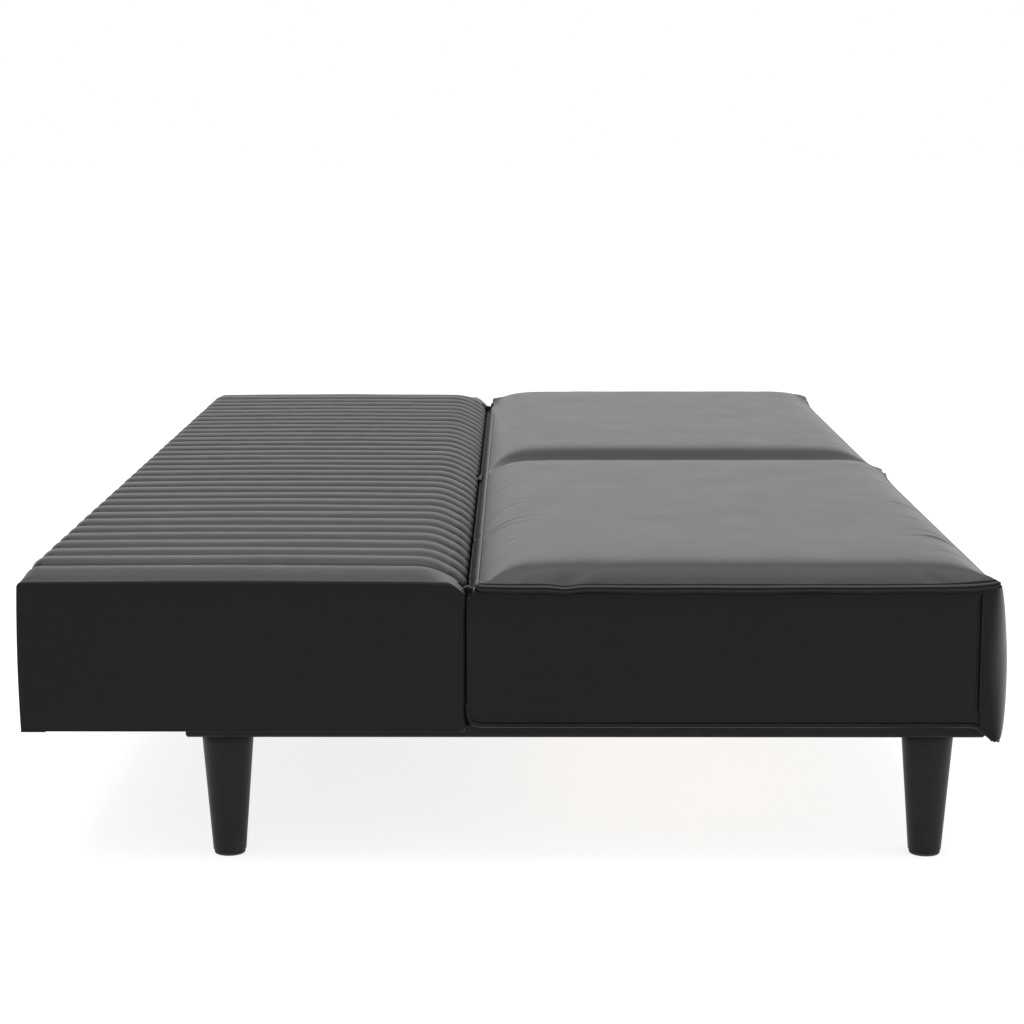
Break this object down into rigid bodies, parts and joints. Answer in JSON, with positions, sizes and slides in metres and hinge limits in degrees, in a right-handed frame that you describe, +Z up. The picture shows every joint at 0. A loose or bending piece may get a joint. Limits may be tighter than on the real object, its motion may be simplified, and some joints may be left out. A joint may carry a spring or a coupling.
{
  "type": "click-clack sofa bed",
  "caption": "Two-seat faux-leather click-clack sofa bed on four tapered legs, shown flat as a bed; its ribbed back folds up in three positions.",
  "frame": {"origin": "floor level, at the centre of the overall bounding box seen from above", "axes": "X along the sofa, the seat's front faces -Y, Z up; rest pose is the flat bed"},
  "size_m": [1.68, 0.993, 0.317],
  "materials": {
    "ribbed_faux_leather": "satin",
    "smooth_faux_leather": "satin",
    "foam": "matte",
    "black_lining": "matte",
    "plywood": "matte",
    "timber": "matte",
    "black_painted_timber": "satin",
    "black_legs": "satin",
    "black_steel": "satin",
    "zinc_steel": "satin",
    "rubber": "matte"
  },
  "bodies": {
    "base": {"base_centre_rail": "black_painted_timber", "base_front_rail": "black_painted_timber", "base_left_rail": "black_painted_timber", "base_rear_rail": "black_painted_timber", "base_right_rail": "black_painted_timber", "foot_glide_front_left": "rubber", "foot_glide_front_right": "rubber", "foot_glide_rear_left": "rubber", "foot_glide_rear_right": "rubber", "hinge_pin": "black_steel", "hinge_seat_leaf": "black_steel", "leg_bolt_front_left": "zinc_steel", "leg_bolt_front_right": "zinc_steel", "leg_bolt_rear_left": "zinc_steel", "leg_bolt_rear_right": "zinc_steel", "leg_front_left": "black_legs", "leg_front_right": "black_legs", "leg_rear_left": "black_legs", "leg_rear_right": "black_legs", "pawl_pin_left": "black_steel", "pawl_pin_right": "black_steel", "pawl_spring_left": "zinc_steel", "pawl_spring_right": "zinc_steel", "pivot_pin_left": "black_steel", "pivot_pin_right": "black_steel", "rest_bumper_left": "rubber", "rest_bumper_right": "rubber", "seat_centre_rail": "timber", "seat_cushion_left": "smooth_faux_leather", "seat_cushion_right": "smooth_faux_leather", "seat_deck": "plywood", "seat_foam": "foam", "seat_front_panel": "smooth_faux_leather", "seat_front_rail": "timber", "seat_left_end_panel": "smooth_faux_leather", "seat_left_rail": "timber", "seat_plate_left": "black_steel", "seat_plate_right": "black_steel", "seat_rear_panel": "smooth_faux_leather", "seat_rear_rail": "timber", "seat_right_end_panel": "smooth_faux_leather", "seat_right_rail": "timber"},
    "back": {"back_centre_stile": "timber", "back_cushion_left": "ribbed_faux_leather", "back_cushion_right": "ribbed_faux_leather", "back_dust_cover": "black_lining", "back_foam": "foam", "back_inner_rail": "timber", "back_left_end_panel": "smooth_faux_leather", "back_left_stile": "timber", "back_outer_rail": "timber", "back_panel": "plywood", "back_right_end_panel": "smooth_faux_leather", "back_right_stile": "timber", "hinge_back_leaf": "black_steel", "recline_arm_left": "black_steel", "recline_arm_right": "black_steel"},
    "left_catch": {"pawl_left": "zinc_steel"},
    "right_catch": {"pawl_right": "zinc_steel"}
  },
  "joints": [
    {"name": "back_recline", "type": "hinge", "parent": "base", "child": "back", "pos_m": [0, 0.0457, 0.278], "axis": [1, 0, 0], "range_deg": [0, 65.5]},
    {"name": "left_pawl_lift", "type": "hinge", "parent": "base", "child": "left_catch", "pos_m": [0.8045, 0.004, 0.215], "axis": [-1, 0, 0], "range_deg": [0, 12], "stiffness_Nm_per_rad": 0.2, "springref_deg": -34.38},
    {"name": "right_pawl_lift", "type": "hinge", "parent": "base", "child": "right_catch", "pos_m": [-0.8045, 0.004, 0.215], "axis": [-1, 0, 0], "range_deg": [0, 12], "stiffness_Nm_per_rad": 0.2, "springref_deg": -34.38}
  ]
}
